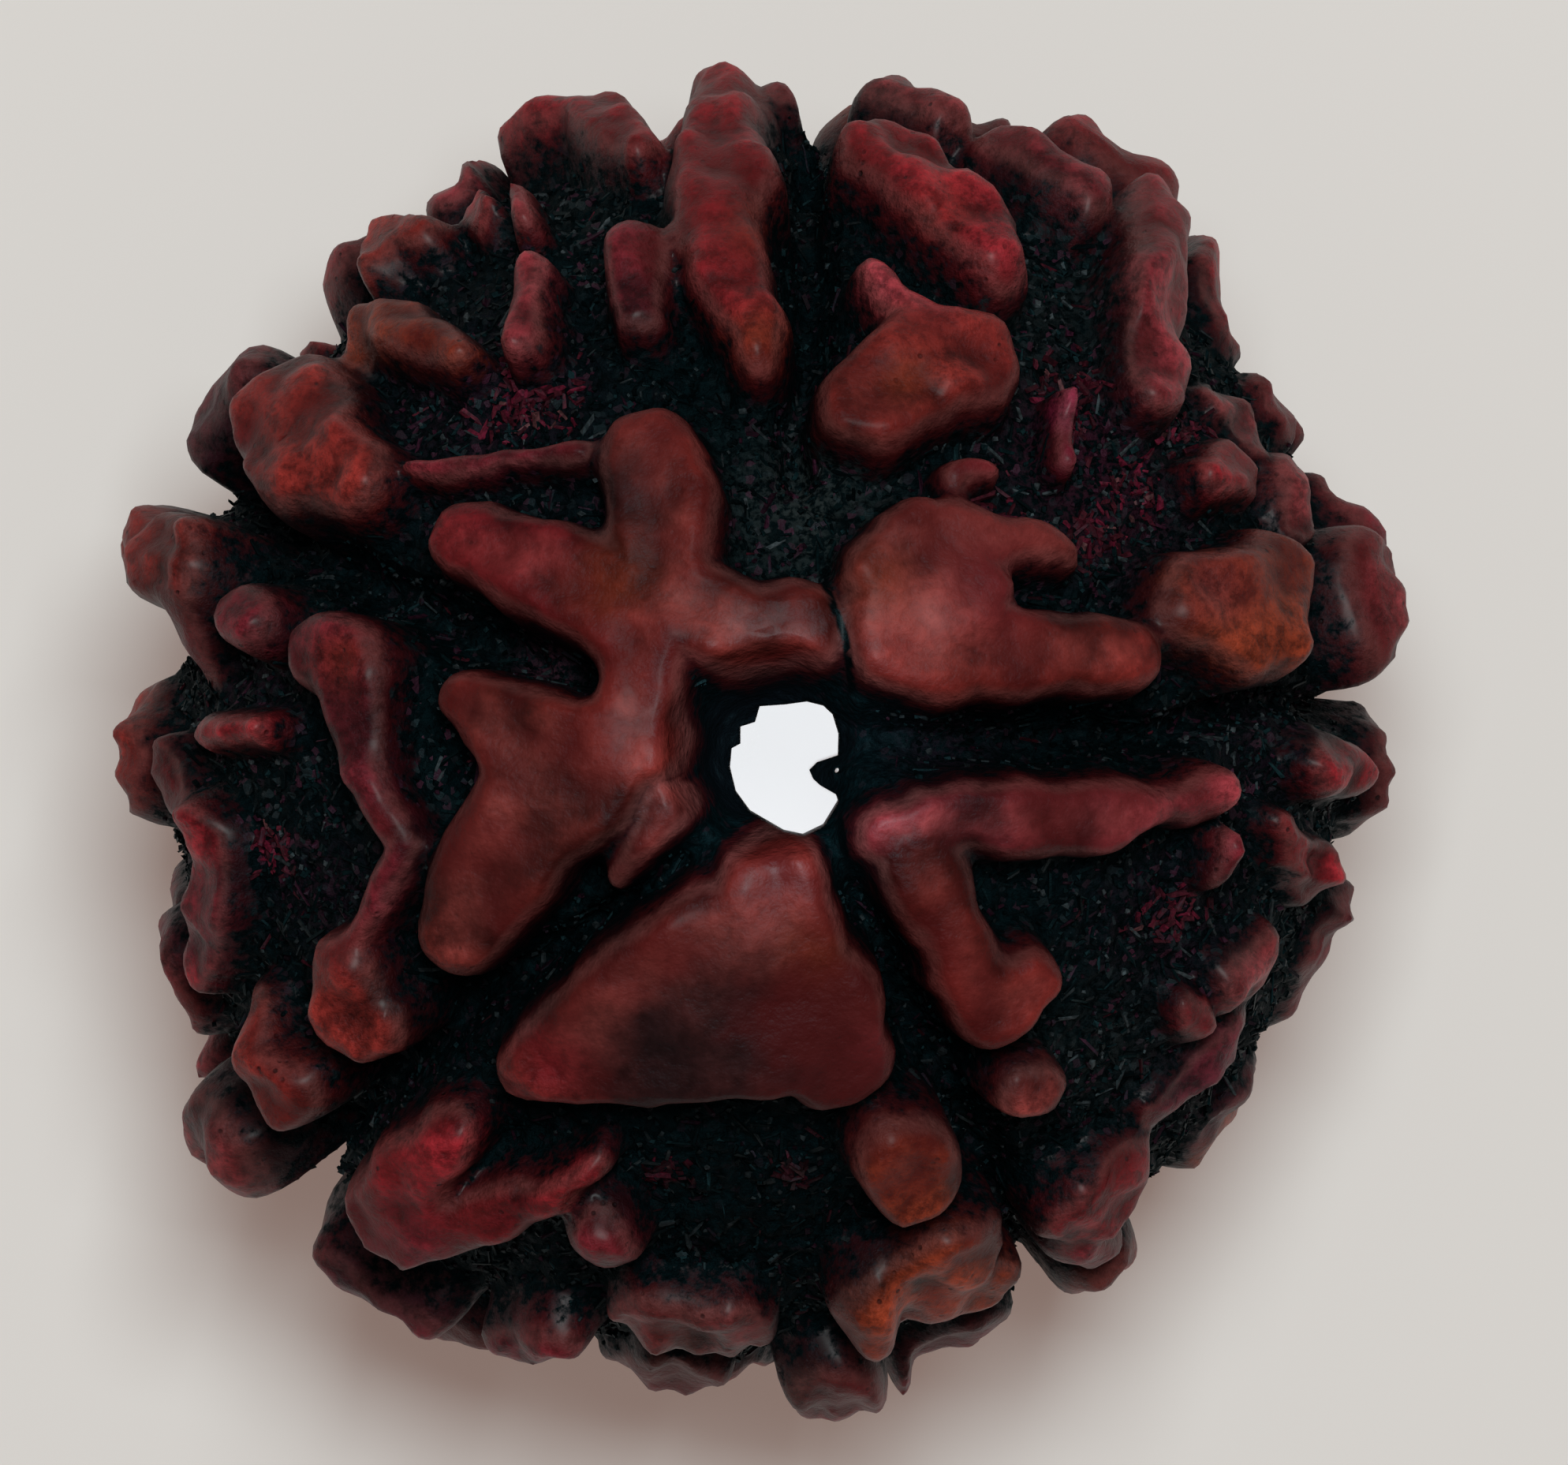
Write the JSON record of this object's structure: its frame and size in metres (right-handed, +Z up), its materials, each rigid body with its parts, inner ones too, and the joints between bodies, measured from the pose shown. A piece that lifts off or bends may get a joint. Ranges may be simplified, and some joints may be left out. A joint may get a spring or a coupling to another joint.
{
  "type": "rudraksha bead",
  "caption": "dried rudraksha seed bead with deep grooves, a raised net of red-brown ridges and knobs, and a thread hole from pole to pole",
  "frame": {"origin": "on the resting surface, under the middle of the bead's bounding box", "axes": "+Z up along the thread hole, +Y along the longest extent and up the picture, +X to the picture's right"},
  "size_m": [0.0216, 0.0228, 0.0188],
  "materials": {
    "rudraksha_stone": "satin"
  },
  "bodies": {
    "root": {"bead": "rudraksha_stone"}
  },
  "joints": []
}
